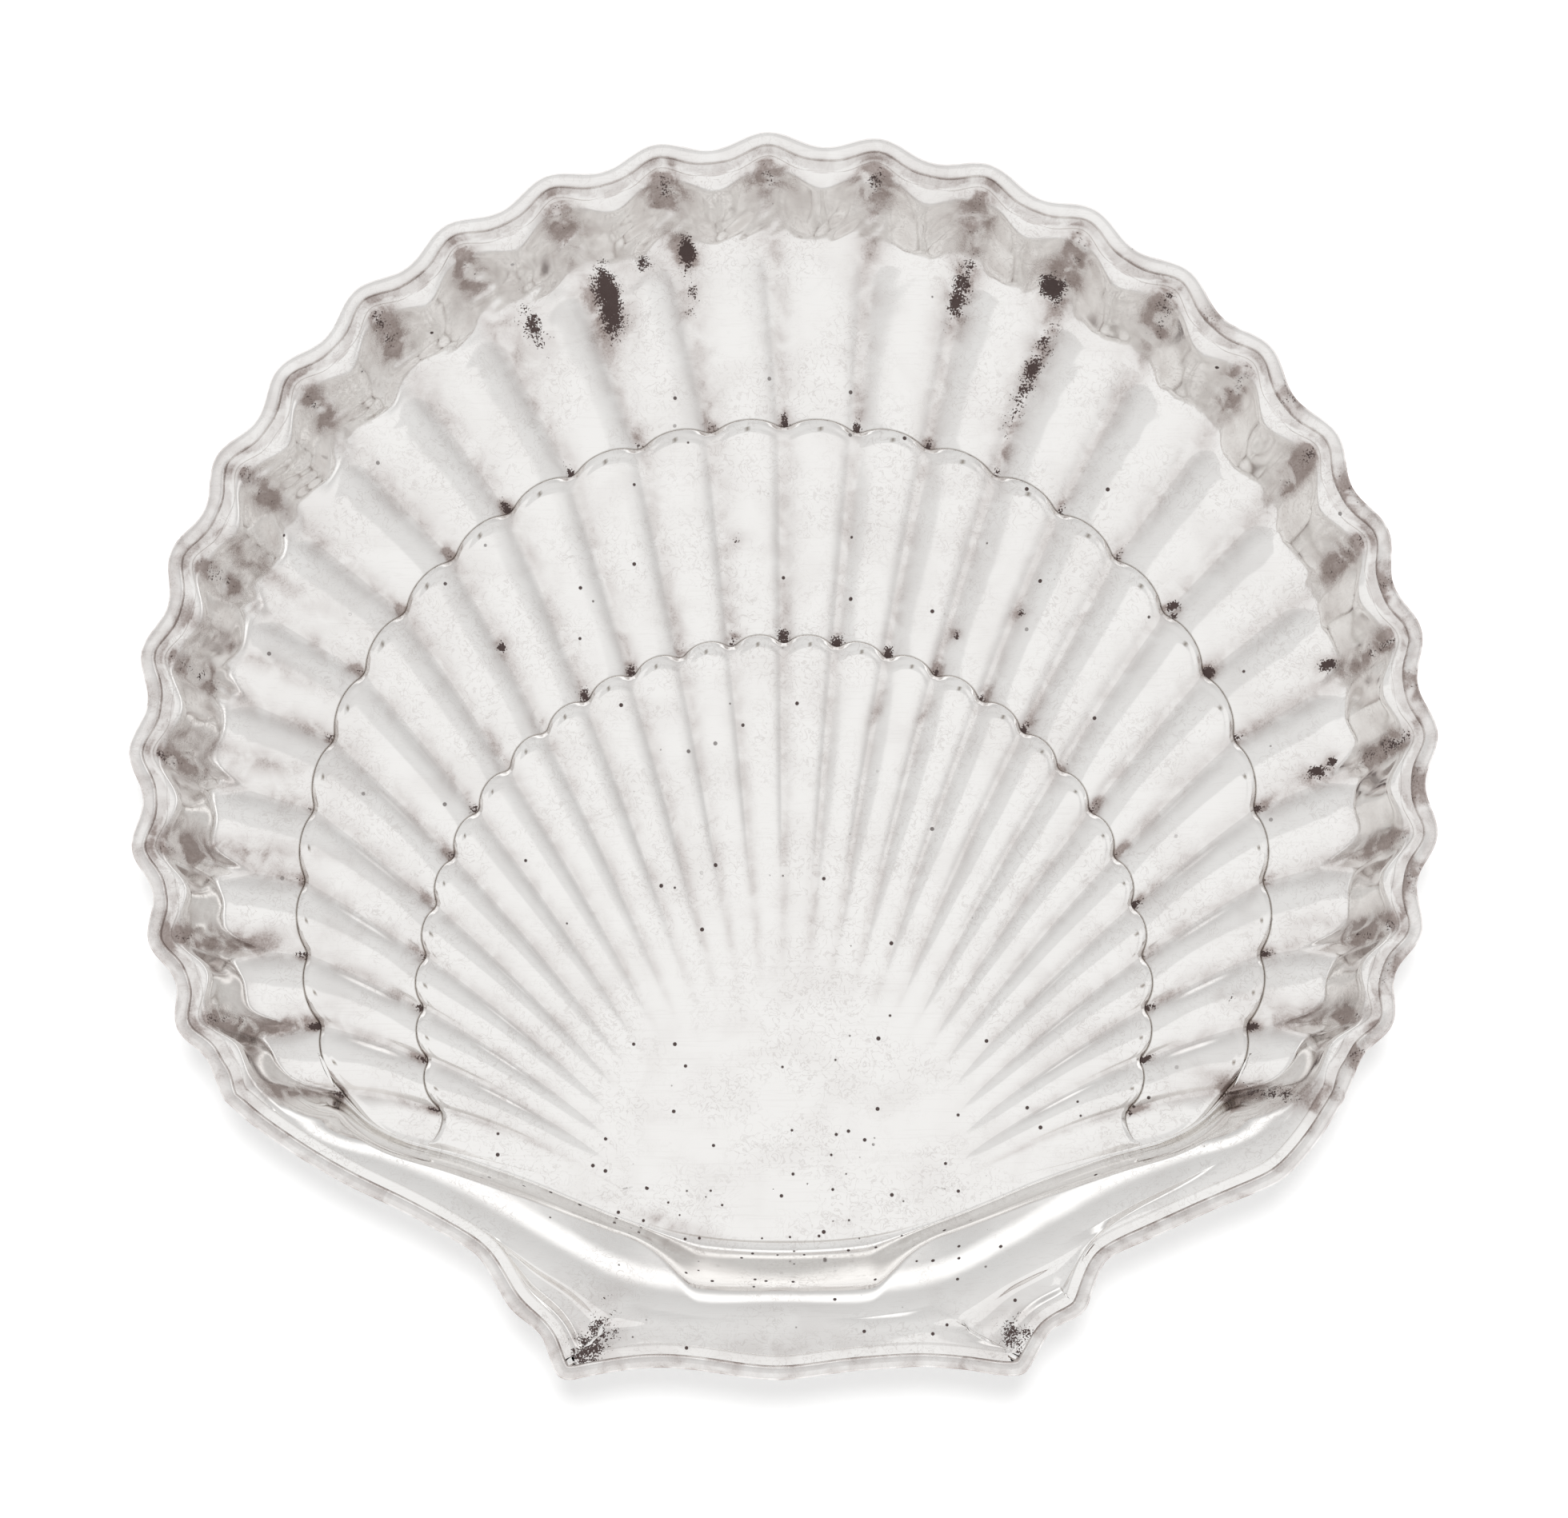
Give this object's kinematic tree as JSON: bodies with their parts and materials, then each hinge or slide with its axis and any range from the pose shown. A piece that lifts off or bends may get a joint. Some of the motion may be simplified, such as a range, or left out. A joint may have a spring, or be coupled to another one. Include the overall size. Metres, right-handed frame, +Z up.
{
  "type": "shell tray",
  "caption": "Scallop-shell serving tray of raised silver with stepped flutes, an upright fluted wall, a hinge-shaped end with two ears, an applied border wire and small ball feet.",
  "frame": {"origin": "middle of the tray's box, on the plane that the feet stand on", "axes": "+Z up out of the dish, +Y from the hinge towards the top of the fan, +X to the right seen from above"},
  "size_m": [0.3274, 0.3148, 0.04],
  "materials": {
    "sheet_silver": "polished silver, tarnished in the grooves",
    "wire_silver": "bright polished silver",
    "pad_silver": "satin silver, dull at the solder",
    "foot_silver": "polished silver with rubbed undersides"
  },
  "bodies": {
    "root": {"shell_body": "sheet_silver", "border_wire": "wire_silver", "foot_pad_left": "pad_silver", "foot_left": "foot_silver", "foot_pad_right": "pad_silver", "foot_right": "foot_silver", "foot_pad_hinge": "pad_silver", "foot_hinge": "foot_silver"}
  },
  "joints": []
}
